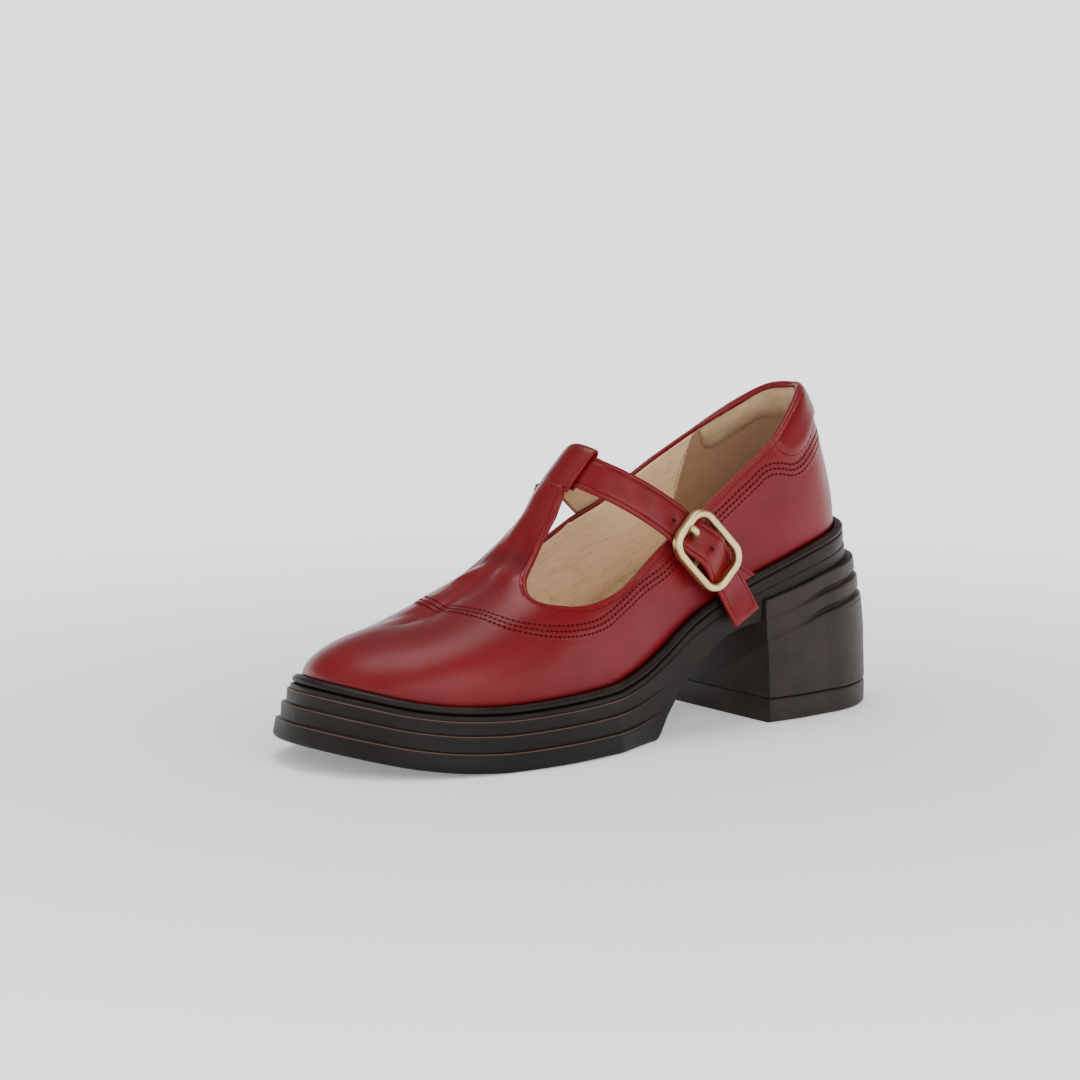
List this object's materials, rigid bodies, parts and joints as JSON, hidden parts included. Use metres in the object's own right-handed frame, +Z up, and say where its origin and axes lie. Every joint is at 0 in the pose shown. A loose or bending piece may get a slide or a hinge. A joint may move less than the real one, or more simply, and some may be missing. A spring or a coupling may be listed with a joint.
{
  "type": "mary jane shoe",
  "caption": "Left mary jane shoe: hollow leather upper with a T-bar and buckled strap, banded platform sole and block heel.",
  "frame": {"origin": "on the floor, under the centre of the shoe's bounding box", "axes": "+Z up, +Y from the toe toward the heel, +X toward the outer side that carries the buckle"},
  "size_m": [0.102, 0.2604, 0.1248],
  "materials": {
    "upper_leather": "smooth semi-gloss",
    "sole_rubber": "satin",
    "lining_leather": "matte",
    "pad_suede": "napped",
    "buckle_metal": "satin"
  },
  "bodies": {
    "root": {"upper": "upper_leather", "outsole": "sole_rubber", "welt": "sole_rubber", "heel_block": "sole_rubber", "heel_top_lift": "sole_rubber", "insole": "lining_leather", "collar_pad": "pad_suede", "strap": "upper_leather", "buckle_tab": "upper_leather", "buckle_frame": "buckle_metal", "buckle_prong": "buckle_metal"}
  },
  "joints": []
}
